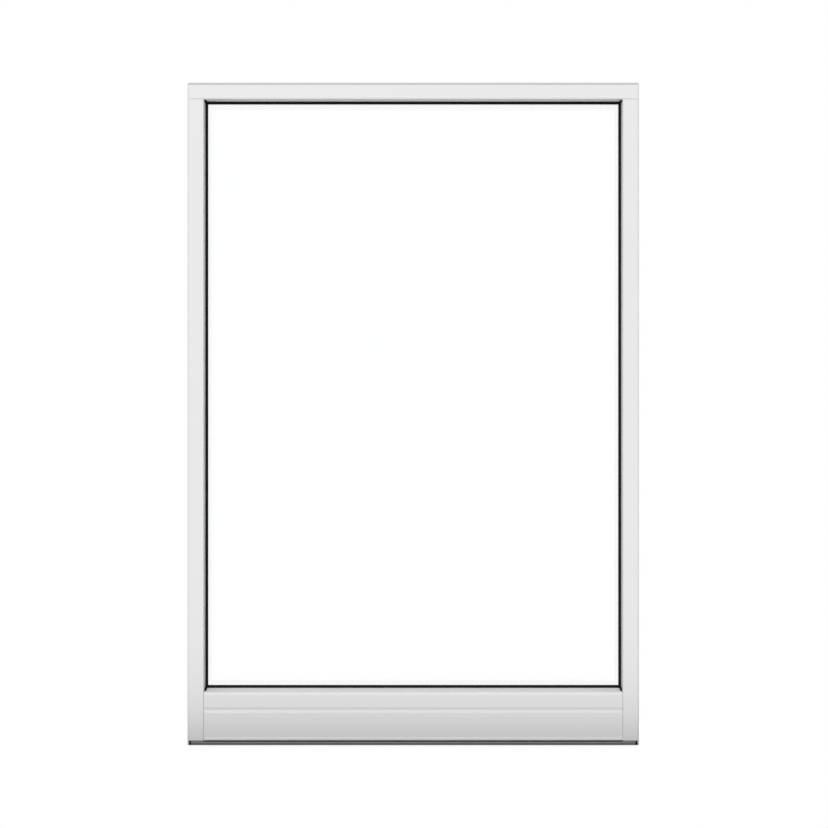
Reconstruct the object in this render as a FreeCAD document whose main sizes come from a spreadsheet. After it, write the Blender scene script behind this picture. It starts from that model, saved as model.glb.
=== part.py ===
"""Fixed picture window: a white thermally broken aluminium frame with double glazing and a dark sub-sill.

Millimetres. +Z is up, -Y is the weather side, and the origin is under the middle of the sub-sill.
A section is drawn by two distances: in from the frame's outer edge, and back from its exterior face.
"""
import FreeCAD
import Part
import Sketcher
import os

# Driving dimensions
SIZES = {
    # The frame as it is ordered, without the sub-sill
    "frame_width": 880,
    "frame_height": 1280,
    "frame_depth": 75,
    # Faces that show from outside
    "head_face": 32.5,
    "jamb_face": 32.5,
    "sill_face": 58.8,
    "bead_face": 33.5,
    "bead_fall": 5.4,
    "sill_setback": 1.5,
    "sill_gap": 0.2,
    "drip_lip": 4,
    # Profiles
    "profile_wall": 2,
    "outer_depth": 20,
    "break_depth": 24,
    "break_strip": 3,
    "break_inset": 2,
    "bead_upstand": 4,
    "lip_setback": 8,
    "lip_splay": 5,
    "edge_round": 6,
    "arris_round": 1,
    "reveal_round": 2.5,
    "bead_round": 6.5,
    "groove_height": 5.5,
    "groove_depth": 1.5,
    "joint_gap": 0.3,
    # Glazing
    "pane_thickness": 6,
    "glass_cavity": 16,
    "glass_bite": 15.5,
    "glass_clearance": 6,
    "gasket_thickness": 4,
    "gasket_sight": 5,
    "gasket_root": 7,
    "gasket_slope": 2.5,
    "corner_seal": 3.5,
    "spacer_height": 6,
    "spacer_inset": 4,
    "block_length": 80,
    "block_quarter": 200,
    # Sub-sill and end pieces
    "sub_sill_height": 10,
    "sub_sill_setback": 4,
    "sub_sill_wall": 2,
    "drain_height": 2.5,
    "drain_depth": 8,
    "drip_height": 2.5,
    "drip_depth": 4,
    "end_dam": 4,
    "end_plate": 3,
    "cap_thickness": 1.5,
    # Weather strip along the top front edge of the head
    "strip_height": 4.5,
    "strip_depth": 8,
    "strip_round": 3.5,
    # Wall fixings
    "fixing_bore": 8,
    "fixing_inset": 150,
    "fixing_spacing": 330,
    # Countersinks for the screws that hold the corners together
    "screw_head": 8.5,
    "screw_low": 17,
    "screw_high": 47,
}
COUNTERSINK_SLOPE = 45

# Distances in from the frame's outer edge
HEAD_SIGHT = "(Sizes.head_face + Sizes.gasket_sight)"
JAMB_SIGHT = "(Sizes.jamb_face + Sizes.gasket_sight)"
SILL_TOP = "(Sizes.sill_gap + Sizes.sill_face)"
BEAD_FRONT_TOP = f"({SILL_TOP} + Sizes.bead_face)"
BEAD_BACK_TOP = f"({BEAD_FRONT_TOP} + Sizes.bead_fall)"
SILL_SIGHT = f"({BEAD_BACK_TOP} + Sizes.gasket_sight)"
CAP_END = "(Sizes.edge_round + Sizes.cap_thickness)"

# Distances back from the exterior face
GLASS_FRONT = "(Sizes.outer_depth + Sizes.gasket_thickness)"
CAVITY_FRONT = f"({GLASS_FRONT} + Sizes.pane_thickness)"
CAVITY_BACK = f"({CAVITY_FRONT} + Sizes.glass_cavity)"
GLASS_BACK = f"({CAVITY_BACK} + Sizes.pane_thickness)"
LIP_FRONT = f"({GLASS_BACK} + Sizes.gasket_thickness)"
SEAL_FRONT = "(Sizes.sill_setback + Sizes.bead_round)"
INNER_FRONT = "(Sizes.outer_depth + Sizes.break_depth)"
FIXING_DEPTH = f"({LIP_FRONT} + Sizes.frame_depth) / 2"
OUTER_SCREW = "Sizes.outer_depth / 2"
HEAD_SCREW = "(Sizes.strip_depth + Sizes.outer_depth) / 2"
INNER_SCREW = f"({INNER_FRONT} + Sizes.frame_depth) / 2"

LEFT = -1
RIGHT = 1
SIDES = {"left": LEFT, "right": RIGHT}
# How far an edge may lie from the line that names it
EDGE_MISS = 1e-6

doc = FreeCAD.newDocument("FixedPictureWindow")
nodes = []


def fill_sheet():
    """The spreadsheet that holds the driving dimensions."""
    sheet = doc.addObject("Spreadsheet::Sheet", "Sizes")
    for row, (name, value) in enumerate(SIZES.items(), start=1):
        sheet.set(f"A{row}", name)
        sheet.set(f"B{row}", str(value))
        sheet.setAlias(f"B{row}", name)
    doc.recompute()


# Places in the frame

def from_front(distance):
    """Y of a plane this far behind the exterior face."""
    return f"{distance} - Sizes.frame_depth / 2"


def from_side(side, distance):
    """X of a plane this far in from the frame's left or right edge."""
    return f"{side} * (Sizes.frame_width / 2 - {distance})"


def side_span(side, outward, inward):
    """X of a piece's two ends near the left or right edge, the lower one first."""
    span = [from_side(side, outward), from_side(side, inward)]
    return span if side == LEFT else span[::-1]


def from_top(distance):
    """Z of a plane this far below the frame's top."""
    return f"Sizes.sub_sill_height + Sizes.frame_height - {distance}"


def from_bottom(distance):
    """Z of a plane this far above the frame's bottom, which stands on the sub-sill."""
    return f"Sizes.sub_sill_height + {distance}"


ROOM_FACE = from_front("Sizes.frame_depth")


def on_head(loops):
    """A section's loops as Y and Z places in the head."""
    return [[(from_front(back), from_top(inward)) for inward, back in loop] for loop in loops]


def on_sill(loops):
    """A section's loops as Y and Z places in the sill."""
    return [[(from_front(back), from_bottom(inward)) for inward, back in loop] for loop in loops]


def on_floor(loops):
    """A section's loops as Y and Z places above the floor."""
    return [[(from_front(back), height) for height, back in loop] for loop in loops]


def on_jamb(side, loops):
    """A section's loops as X and Y places in the left or right jamb."""
    return [[(from_side(side, inward), from_front(back)) for inward, back in loop] for loop in loops]


# Features

def new_body(label):
    """An empty body whose label names its node."""
    body = doc.addObject("PartDesign::Body", label)
    body.Label = label
    nodes.append(body)
    return body


def add_sketch(body, role):
    """A sketch on one of the body's own origin planes."""
    sketch = body.newObject("Sketcher::SketchObject", f"{body.Label}_sketch")
    plane = next(feature for feature in body.Origin.OriginFeatures if feature.Role == role)
    sketch.AttachmentSupport = [(plane, "")]
    sketch.MapMode = "FlatFace"
    return sketch


def hold_point(sketch, geometry, end, place):
    """Dimensions from the sketch's origin that keep one point at its place."""
    for kind, expression in zip(("DistanceX", "DistanceY"), place):
        value = float(sketch.evalExpression(expression))
        index = sketch.addConstraint(Sketcher.Constraint(kind, -1, 1, geometry, end, value))
        sketch.setExpression(f"Constraints[{index}]", expression)


def add_loop(sketch, corners):
    """A closed outline with straight sides through these corners."""
    places = []
    for across, along in corners:
        across_value = float(sketch.evalExpression(across))
        along_value = float(sketch.evalExpression(along))
        places.append(FreeCAD.Vector(across_value, along_value, 0))
    following = places[1:] + places[:1]
    lines = [sketch.addGeometry(Part.LineSegment(start, end)) for start, end in zip(places, following)]
    for line, next_line in zip(lines, lines[1:] + lines[:1]):
        sketch.addConstraint(Sketcher.Constraint("Coincident", line, 2, next_line, 1))
    for line, corner in zip(lines, corners):
        hold_point(sketch, line, 1, corner)


def add_circle(sketch, centre, diameter):
    """A circle held at its centre."""
    places = [float(sketch.evalExpression(expression)) for expression in centre]
    width = float(sketch.evalExpression(diameter))
    axis = FreeCAD.Vector(0, 0, 1)
    circle = sketch.addGeometry(Part.Circle(FreeCAD.Vector(*places, 0), axis, width / 2))
    hold_point(sketch, circle, 3, centre)
    index = sketch.addConstraint(Sketcher.Constraint("Diameter", circle, width))
    sketch.setExpression(f"Constraints[{index}]", diameter)


def extrude(label, role, loops, low, high):
    """A straight bar: the loops on an origin plane, drawn out from the low place to the high one."""
    body = new_body(label)
    sketch = add_sketch(body, role)
    sketch.setExpression("AttachmentOffset.Base.z", low)
    for loop in loops:
        add_loop(sketch, loop)
    pad = body.newObject("PartDesign::Pad", f"{label}_bar")
    pad.Profile = sketch
    pad.setExpression("Length", f"({high}) - ({low})")
    doc.recompute()
    return body


def upright(label, loops, low, high):
    """A bar that stands along Z, from X and Y places."""
    return extrude(label, "XY_Plane", loops, low, high)


def crosswise(label, loops, low, high):
    """A bar that lies along X, from Y and Z places."""
    return extrude(label, "YZ_Plane", loops, low, high)


def cut_through(body, role, loops=(), circles=(), diameter=None, length=None):
    """Cuts outlines and round holes to both sides of an origin plane, right through or over a length."""
    before = body.Shape.Volume
    sketch = add_sketch(body, role)
    for loop in loops:
        add_loop(sketch, loop)
    for centre in circles:
        add_circle(sketch, centre, diameter)
    pocket = body.newObject("PartDesign::Pocket", f"{body.Label}_cut")
    pocket.Profile = sketch
    pocket.SideType = "Symmetric"
    if length:
        pocket.setExpression("Length", length)
    else:
        pocket.Type = "ThroughAll"
    doc.recompute()
    if not body.Shape.Volume < before:
        raise RuntimeError(f"{body.Label}: the cut removed nothing")


def countersink(body, role, level, centres, reversed_cut=False):
    """Sinks screw heads into the wall that starts at this level of an origin plane."""
    before = body.Shape.Volume
    sketch = add_sketch(body, role)
    sketch.setExpression("AttachmentOffset.Base.z", level)
    for centre in centres:
        add_circle(sketch, centre, "Sizes.screw_head")
    pocket = body.newObject("PartDesign::Pocket", f"{body.Label}_countersink")
    pocket.Profile = sketch
    pocket.Reversed = reversed_cut
    pocket.TaperAngle = -COUNTERSINK_SLOPE
    pocket.setExpression("Length", "Sizes.profile_wall")
    doc.recompute()
    if not body.Shape.Volume < before:
        raise RuntimeError(f"{body.Label}: the countersink removed nothing")


def round_edges(body, radius, *lines):
    """Rounds the straight edges that lie along these lines, each a fixed place on two of the axes."""
    shape = body.Shape
    chosen = []
    for line in lines:
        wanted = {axis: float(body.evalExpression(place)) for axis, place in line.items()}
        for index, edge in enumerate(shape.Edges, start=1):
            ends = [vertex.Point for vertex in edge.Vertexes]
            misses = [abs(getattr(end, axis) - value) for end in ends for axis, value in wanted.items()]
            fits = max(misses) < EDGE_MISS
            if fits and len(ends) == 2:
                chosen.append(f"Edge{index}")
    if len(chosen) < len(lines):
        raise RuntimeError(f"{body.Label}: an edge to be rounded is missing")
    base = body.Tip
    fillet = body.newObject("PartDesign::Fillet", f"{body.Label}_round")
    fillet.Base = (base, chosen)
    fillet.setExpression("Radius", radius)
    doc.recompute()


# Sections, as distances in from the outer edge and back from the exterior face

def rectangle(inward_low, inward_high, back_low, back_high):
    """The corners of a rectangle in a section."""
    return [
        (inward_low, back_low),
        (inward_high, back_low),
        (inward_high, back_high),
        (inward_low, back_high),
    ]


def rebate(sight):
    """How far in the floor of the glass pocket lies."""
    return f"({sight} - Sizes.glass_bite - Sizes.glass_clearance)"


def glass_edge(sight):
    """How far in the edge of the glass lies."""
    return f"({sight} - Sizes.glass_bite)"


def lip_edge(sight):
    """How far in the interior lip reaches beside the glass."""
    return f"({sight} - Sizes.lip_setback)"


def lip_face(sight, back):
    """How far in the lip's splayed face lies at a distance back from the exterior face."""
    share = f"({back} - {LIP_FRONT}) / (Sizes.frame_depth - {LIP_FRONT})"
    return f"({lip_edge(sight)} - Sizes.lip_splay * {share})"


def room_edge(sight):
    """How far in the lip's face ends on the room side."""
    return f"({lip_edge(sight)} - Sizes.lip_splay)"


def outer_tube(face):
    """The hollow exterior profile."""
    wall = "Sizes.profile_wall"
    outside = rectangle("0", face, "0", "Sizes.outer_depth")
    hollow = rectangle(wall, f"({face} - {wall})", wall, f"(Sizes.outer_depth - {wall})")
    return [outside, hollow]


def head_tube():
    """The hollow exterior profile of the head, notched along its top front edge for the weather strip."""
    wall = "Sizes.profile_wall"
    outside = notched("Sizes.head_face", "Sizes.outer_depth", "0")
    hollow = notched(f"(Sizes.head_face - {wall})", f"(Sizes.outer_depth - {wall})", wall)
    return [outside, hollow]


def notched(inward, back, inset):
    """A rectangle drawn in by an inset, less the weather strip's corner."""
    strip_low = f"(Sizes.strip_height + {inset})"
    strip_back = f"(Sizes.strip_depth + {inset})"
    return [
        (inset, strip_back),
        (strip_low, strip_back),
        (strip_low, inset),
        (inward, inset),
        (inward, back),
        (inset, back),
    ]


def break_strips(sight):
    """The two strips that join the exterior and interior profiles and keep the cold out."""
    floor = rebate(sight)
    near = rectangle(
        "Sizes.break_inset", "(Sizes.break_inset + Sizes.break_strip)", "Sizes.outer_depth", INNER_FRONT
    )
    far = rectangle(f"({floor} - Sizes.break_strip)", floor, "Sizes.outer_depth", INNER_FRONT)
    return [near, far]


def inner_outline(sight, gap="0"):
    """The interior profile's outline: a box beside the glass pocket and a splayed lip behind the glass."""
    floor = f"({rebate(sight)} + {gap})"
    return [
        ("0", f"({INNER_FRONT} - {gap})"),
        (floor, f"({INNER_FRONT} - {gap})"),
        (floor, f"({LIP_FRONT} - {gap})"),
        (f"({lip_edge(sight)} + {gap})", f"({LIP_FRONT} - {gap})"),
        (f"({room_edge(sight)} + {gap})", "Sizes.frame_depth"),
        ("0", "Sizes.frame_depth"),
    ]


def inner_profile(sight):
    """The hollow interior profile."""
    wall = "Sizes.profile_wall"
    floor = f"({rebate(sight)} - {wall})"
    front = f"({LIP_FRONT} + {wall})"
    back = f"(Sizes.frame_depth - {wall})"
    hollow = [
        (wall, f"({INNER_FRONT} + {wall})"),
        (floor, f"({INNER_FRONT} + {wall})"),
        (floor, front),
        (f"({lip_face(sight, front)} - {wall})", front),
        (f"({lip_face(sight, back)} - {wall})", back),
        (wall, back),
    ]
    return [inner_outline(sight), hollow]


def outer_gasket(face):
    """The exterior seal, which slopes from the frame down to the glass."""
    root = f"({face} - Sizes.gasket_root)"
    sight = f"({face} + Sizes.gasket_sight)"
    return [[
        (root, "Sizes.outer_depth"),
        (face, "Sizes.outer_depth"),
        (sight, "(Sizes.outer_depth + Sizes.gasket_slope)"),
        (sight, GLASS_FRONT),
        (root, GLASS_FRONT),
    ]]


def head_seal():
    """A corner seal under the head, in front of the gasket."""
    low = "(Sizes.head_face + Sizes.corner_seal)"
    return [rectangle("Sizes.head_face", low, SEAL_FRONT, "Sizes.outer_depth")]


def bead_seal():
    """A corner seal that lies on the sloped top of the glazing bead, in front of the gasket."""
    share = f"({SEAL_FRONT} - Sizes.sill_setback) / (Sizes.outer_depth - Sizes.sill_setback)"
    front_foot = f"({BEAD_FRONT_TOP} + Sizes.bead_fall * {share})"
    return [[
        (front_foot, SEAL_FRONT),
        (BEAD_BACK_TOP, "Sizes.outer_depth"),
        (f"({BEAD_BACK_TOP} + Sizes.corner_seal)", "Sizes.outer_depth"),
        (f"({front_foot} + Sizes.corner_seal)", SEAL_FRONT),
    ]]


def inner_gasket(sight):
    """The interior seal between the glass and the lip."""
    edge = lip_edge(sight)
    return [rectangle(f"({edge} - Sizes.gasket_root)", edge, GLASS_BACK, LIP_FRONT)]


def spacer_bar(sight):
    """The bar that keeps the two panes apart."""
    low = f"({glass_edge(sight)} + Sizes.spacer_inset)"
    return [rectangle(low, f"({low} + Sizes.spacer_height)", CAVITY_FRONT, CAVITY_BACK)]


def sill_profile():
    """The hollow exterior sill with a drip lip in front and an upstand behind the glazing bead."""
    wall = "Sizes.profile_wall"
    face = "Sizes.sill_setback"
    lip_top = "(Sizes.sill_gap + Sizes.drip_lip)"
    upstand = "(Sizes.outer_depth - Sizes.bead_upstand)"
    outside = [
        ("Sizes.sill_gap", "0"),
        (lip_top, "0"),
        (f"({lip_top} + {face})", face),
        (f"({SILL_TOP} - Sizes.groove_height)", face),
        (SILL_TOP, f"({face} + Sizes.groove_depth)"),
        (SILL_TOP, upstand),
        (rebate(SILL_SIGHT), upstand),
        (rebate(SILL_SIGHT), "Sizes.outer_depth"),
        ("Sizes.sill_gap", "Sizes.outer_depth"),
    ]
    hollow = rectangle(
        f"(Sizes.sill_gap + {wall})",
        f"({SILL_TOP} - {wall})",
        f"({face} + {wall})",
        f"(Sizes.outer_depth - {wall})",
    )
    return [outside, hollow]


def bead_profile():
    """The hollow glazing bead: it stands on the sill, hooks over the upstand and sheds water forwards."""
    wall = "Sizes.profile_wall"
    face = "Sizes.sill_setback"
    upstand = "(Sizes.outer_depth - Sizes.bead_upstand)"
    outside = [
        (SILL_TOP, f"({face} + Sizes.groove_depth)"),
        (f"({SILL_TOP} + Sizes.groove_height)", face),
        (BEAD_FRONT_TOP, face),
        (BEAD_BACK_TOP, "Sizes.outer_depth"),
        (rebate(SILL_SIGHT), "Sizes.outer_depth"),
        (rebate(SILL_SIGHT), upstand),
        (SILL_TOP, upstand),
    ]
    hollow = rectangle(
        f"({SILL_TOP} + {wall})",
        f"({BEAD_FRONT_TOP} - {wall})",
        f"({face} + {wall})",
        f"({upstand} - {wall})",
    )
    return [outside, hollow]


def cap_outline():
    """The outline of the head's open end."""
    floor = rebate(HEAD_SIGHT)
    return [[
        ("0", "Sizes.strip_depth"),
        ("Sizes.strip_height", "Sizes.strip_depth"),
        ("Sizes.strip_height", "0"),
        ("Sizes.head_face", "0"),
        ("Sizes.head_face", "Sizes.outer_depth"),
        (floor, "Sizes.outer_depth"),
        (floor, LIP_FRONT),
        (lip_edge(HEAD_SIGHT), LIP_FRONT),
        (room_edge(HEAD_SIGHT), "Sizes.frame_depth"),
        ("0", "Sizes.frame_depth"),
    ]]


# Sub-parts

def build_head():
    """The head runs over both jambs and is closed by an end cap on each side."""
    low = from_side(LEFT, CAP_END)
    high = from_side(RIGHT, CAP_END)
    front = from_front("0")
    top = from_top("0")
    strip_foot = from_top("Sizes.strip_height")
    outer = crosswise("head_outer_frame", on_head(head_tube()), low, high)
    round_edges(outer, "Sizes.arris_round", {"y": front, "z": strip_foot})
    round_edges(outer, "Sizes.reveal_round", {"y": front, "z": from_top("Sizes.head_face")})
    strip_section = [rectangle("0", "Sizes.strip_height", "0", "Sizes.strip_depth")]
    strip_ends = [from_side(side, "0") for side in SIDES.values()]
    strip = crosswise("head_weather_strip", on_head(strip_section), *strip_ends)
    round_edges(strip, "Sizes.edge_round", *[{"x": end, "y": front} for end in strip_ends])
    round_edges(strip, "Sizes.strip_round", {"y": front, "z": top})
    crosswise("head_thermal_break", on_head(break_strips(HEAD_SIGHT)), low, high)
    inner = crosswise("head_inner_frame", on_head(inner_profile(HEAD_SIGHT)), low, high)
    round_edges(inner, "Sizes.arris_round", {"y": ROOM_FACE, "z": from_top(room_edge(HEAD_SIGHT))})
    screw_places = [from_side(side, "Sizes.jamb_face / 2") for side in SIDES.values()]
    for body, depth in ((outer, HEAD_SCREW), (inner, INNER_SCREW)):
        countersink(body, "XY_Plane", top, [(place, from_front(depth)) for place in screw_places])
    for name, side in SIDES.items():
        cap = crosswise(f"{name}_head_end_cap", on_head(cap_outline()), *side_span(side, "0", CAP_END))
        round_edges(cap, "Sizes.edge_round", {"y": front, "x": from_side(side, "0")})


def build_jamb(name, side):
    """A jamb stands on the sub-sill and ends under the head."""
    foot = from_bottom("0")
    front = from_front("0")
    outer_top = from_top("(Sizes.head_face + Sizes.joint_gap)")
    break_top = from_top(f"({rebate(HEAD_SIGHT)} + Sizes.joint_gap)")
    outer_loops = on_jamb(side, outer_tube("Sizes.jamb_face"))
    outer = upright(f"{name}_jamb_outer_frame", outer_loops, foot, outer_top)
    wall = "Sizes.profile_wall"
    round_edges(outer, "Sizes.edge_round", {"x": from_side(side, "0"), "y": front})
    hollow_corner = {"x": from_side(side, wall), "y": from_front(wall)}
    round_edges(outer, f"Sizes.edge_round - {wall}", hollow_corner)
    round_edges(outer, "Sizes.reveal_round", {"x": from_side(side, "Sizes.jamb_face"), "y": front})
    upright(f"{name}_jamb_thermal_break", on_jamb(side, break_strips(JAMB_SIGHT)), foot, break_top)
    inner_loops = on_jamb(side, inner_profile(JAMB_SIGHT))
    inner = upright(f"{name}_jamb_inner_frame", inner_loops, foot, from_top("0"))
    round_edges(inner, "Sizes.arris_round", {"x": from_side(side, room_edge(JAMB_SIGHT)), "y": ROOM_FACE})
    cut_through(inner, "YZ_Plane", loops=on_head([inner_outline(HEAD_SIGHT, "Sizes.joint_gap")]))
    heights = [
        from_bottom("Sizes.fixing_inset"),
        from_bottom("(Sizes.fixing_inset + Sizes.fixing_spacing)"),
        from_top("(Sizes.fixing_inset + Sizes.fixing_spacing)"),
        from_top("Sizes.fixing_inset"),
    ]
    centres = [(from_front(FIXING_DEPTH), height) for height in heights]
    cut_through(inner, "YZ_Plane", circles=centres, diameter="Sizes.fixing_bore")
    screw_heights = [from_bottom("Sizes.screw_low"), from_bottom("Sizes.screw_high")]
    for body, depth in ((outer, OUTER_SCREW), (inner, INNER_SCREW)):
        places = [(from_front(depth), height) for height in screw_heights]
        countersink(body, "YZ_Plane", from_side(side, "0"), places, reversed_cut=side == LEFT)


def build_sill():
    """The sill and its glazing bead fit between the jambs."""
    face_ends = [from_side(side, "(Sizes.jamb_face + Sizes.joint_gap)") for side in SIDES.values()]
    pocket_ends = [from_side(side, f"({rebate(JAMB_SIGHT)} + Sizes.joint_gap)") for side in SIDES.values()]
    frame_ends = [from_side(side, "0") for side in SIDES.values()]
    outer = crosswise("sill_outer_frame", on_sill(sill_profile()), *face_ends)
    lip_heights = ("Sizes.sill_gap", "(Sizes.sill_gap + Sizes.drip_lip)")
    lip_lines = [{"y": from_front("0"), "z": from_bottom(height)} for height in lip_heights]
    round_edges(outer, "Sizes.arris_round", *lip_lines)
    bead = crosswise("bottom_glazing_bead", on_sill(bead_profile()), *face_ends)
    bead_front = from_front("Sizes.sill_setback")
    round_edges(bead, "Sizes.bead_round", {"y": bead_front, "z": from_bottom(BEAD_FRONT_TOP)})
    wall = "Sizes.profile_wall"
    hollow_front = from_front(f"(Sizes.sill_setback + {wall})")
    hollow_top = from_bottom(f"({BEAD_FRONT_TOP} - {wall})")
    round_edges(bead, f"Sizes.bead_round - {wall}", {"y": hollow_front, "z": hollow_top})
    crosswise("sill_thermal_break", on_sill(break_strips(SILL_SIGHT)), *pocket_ends)
    inner = crosswise("sill_inner_frame", on_sill(inner_profile(SILL_SIGHT)), *frame_ends)
    round_edges(inner, "Sizes.arris_round", {"y": ROOM_FACE, "z": from_bottom(room_edge(SILL_SIGHT))})
    for side in SIDES.values():
        cut_through(inner, "XY_Plane", loops=on_jamb(side, [inner_outline(JAMB_SIGHT, "Sizes.joint_gap")]))


def build_glass():
    """The two panes and the bars between them."""
    left = from_side(LEFT, glass_edge(JAMB_SIGHT))
    right = from_side(RIGHT, glass_edge(JAMB_SIGHT))
    bottom = from_bottom(glass_edge(SILL_SIGHT))
    top = from_top(glass_edge(HEAD_SIGHT))
    for name, front, back in (
        ("outer_pane", GLASS_FRONT, CAVITY_FRONT),
        ("inner_pane", CAVITY_BACK, GLASS_BACK),
    ):
        loop = [(x, from_front(y)) for x, y in rectangle(left, right, front, back)]
        upright(name, [loop], bottom, top)
    inset = "Sizes.spacer_inset"
    spacer_bottom = from_bottom(f"({glass_edge(SILL_SIGHT)} + {inset})")
    spacer_top = from_top(f"({glass_edge(HEAD_SIGHT)} + {inset})")
    inside = f"({glass_edge(JAMB_SIGHT)} + {inset} + Sizes.spacer_height)"
    ends = [from_side(side, inside) for side in SIDES.values()]
    crosswise("top_spacer_bar", on_head(spacer_bar(HEAD_SIGHT)), *ends)
    crosswise("bottom_spacer_bar", on_sill(spacer_bar(SILL_SIGHT)), *ends)
    for name, side in SIDES.items():
        upright(f"{name}_spacer_bar", on_jamb(side, spacer_bar(JAMB_SIGHT)), spacer_bottom, spacer_top)


def build_gaskets():
    """The seals: those at the sides run through the corners, and the others fit between them.

    A short corner seal closes each corner of the reveal in front of them.
    """
    outer_ends = [from_side(side, JAMB_SIGHT) for side in SIDES.values()]
    crosswise("top_outer_gasket", on_head(outer_gasket("Sizes.head_face")), *outer_ends)
    crosswise("bottom_outer_gasket", on_sill(outer_gasket(BEAD_BACK_TOP)), *outer_ends)
    inner_ends = [from_side(side, lip_edge(JAMB_SIGHT)) for side in SIDES.values()]
    crosswise("top_inner_gasket", on_head(inner_gasket(HEAD_SIGHT)), *inner_ends)
    crosswise("bottom_inner_gasket", on_sill(inner_gasket(SILL_SIGHT)), *inner_ends)
    outer_low = from_bottom(f"({BEAD_BACK_TOP} - Sizes.gasket_root)")
    outer_high = from_top("(Sizes.head_face - Sizes.gasket_root)")
    inner_low = from_bottom(f"({lip_edge(SILL_SIGHT)} - Sizes.gasket_root)")
    inner_high = from_top(f"({lip_edge(HEAD_SIGHT)} - Sizes.gasket_root)")
    for name, side in SIDES.items():
        upright(f"{name}_outer_gasket", on_jamb(side, outer_gasket("Sizes.jamb_face")), outer_low, outer_high)
        upright(f"{name}_inner_gasket", on_jamb(side, inner_gasket(JAMB_SIGHT)), inner_low, inner_high)
        seal_ends = side_span(side, "Sizes.jamb_face", "(Sizes.jamb_face + Sizes.corner_seal)")
        crosswise(f"top_{name}_corner_seal", on_head(head_seal()), *seal_ends)
        crosswise(f"bottom_{name}_corner_seal", on_sill(bead_seal()), *seal_ends)


def build_setting_blocks():
    """The two blocks that carry the glass on the sill."""
    section = [rectangle(rebate(SILL_SIGHT), glass_edge(SILL_SIGHT), GLASS_FRONT, GLASS_BACK)]
    for name, side in SIDES.items():
        middle = f"{side} * Sizes.block_quarter"
        ends = [f"{middle} - Sizes.block_length / 2", f"{middle} + Sizes.block_length / 2"]
        crosswise(f"{name}_setting_block", on_sill(section), *ends)


def build_sub_sill():
    """The dark sub-sill under the frame, ribbed in front, with a dam and a plate at each end."""
    wall = "Sizes.sub_sill_wall"
    height = "Sizes.sub_sill_height"
    front = "Sizes.sub_sill_setback"
    hollow_front = f"({front} + Sizes.drain_depth + {wall})"
    hollow_back = f"(Sizes.frame_depth - {wall})"
    rib = f"({hollow_front} + {hollow_back}) / 2"
    drip_low = f"{wall} / 2"
    drain_high = f"({height} - {wall} / 2)"
    outside = rectangle("0", height, front, "Sizes.frame_depth")
    front_hollow = rectangle(wall, f"({height} - {wall})", hollow_front, f"({rib} - {wall} / 2)")
    back_hollow = rectangle(wall, f"({height} - {wall})", f"({rib} + {wall} / 2)", hollow_back)
    drip = rectangle(drip_low, f"({drip_low} + Sizes.drip_height)", "0", f"({front} + Sizes.drip_depth)")
    drain_low = f"({drain_high} - Sizes.drain_height)"
    drain = rectangle(drain_low, drain_high, "0", f"({front} + Sizes.drain_depth)")
    between_jambs = "Sizes.frame_width - 2 * Sizes.jamb_face"
    dam_end = "(Sizes.end_plate + Sizes.end_dam)"
    ends = [from_side(side, dam_end) for side in SIDES.values()]
    sub_sill = crosswise("sub_sill", on_floor([outside, front_hollow, back_hollow]), *ends)
    cut_through(sub_sill, "YZ_Plane", loops=on_floor([drip]))
    cut_through(sub_sill, "YZ_Plane", loops=on_floor([drain]), length=between_jambs)
    section = on_floor([outside])
    for name, side in SIDES.items():
        dam_ends = side_span(side, "Sizes.end_plate", dam_end)
        crosswise(f"{name}_sub_sill_end_dam", section, *dam_ends)
        plate_ends = side_span(side, "0", "Sizes.end_plate")
        plate = crosswise(f"{name}_sub_sill_end_plate", section, *plate_ends)
        outside_face = from_side(side, "0")
        plate_edges = [{"x": outside_face, "z": height}, {"x": outside_face, "y": from_front(front)}]
        round_edges(plate, "Sizes.arris_round", *plate_edges)


def check_document():
    """Stops if any object has an error or any node is not a valid solid."""
    for item in doc.Objects:
        if "Invalid" in item.State or "Error" in item.State:
            raise RuntimeError(f"{item.Label}: {item.State}")
    for body in nodes:
        if body.Shape.isNull() or not body.Shape.isValid() or not body.Shape.Solids:
            raise RuntimeError(f"{body.Label}: no valid solid")


def export_nodes():
    """One STEP file for each node."""
    os.makedirs("parts", exist_ok=True)
    for body in nodes:
        body.Shape.exportStep(f"parts/{body.Label}.step")


fill_sheet()
build_head()
for jamb_name, jamb_side in SIDES.items():
    build_jamb(jamb_name, jamb_side)
build_sill()
build_glass()
build_gaskets()
build_setting_blocks()
build_sub_sill()
doc.recompute()
check_document()
export_nodes()
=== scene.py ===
"""Finishes, corner screws, floor, lights and camera for a fixed picture window.

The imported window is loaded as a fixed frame. Everything is in metres, and -Y is the weather side.
"""
import math
from typing import NamedTuple

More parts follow.
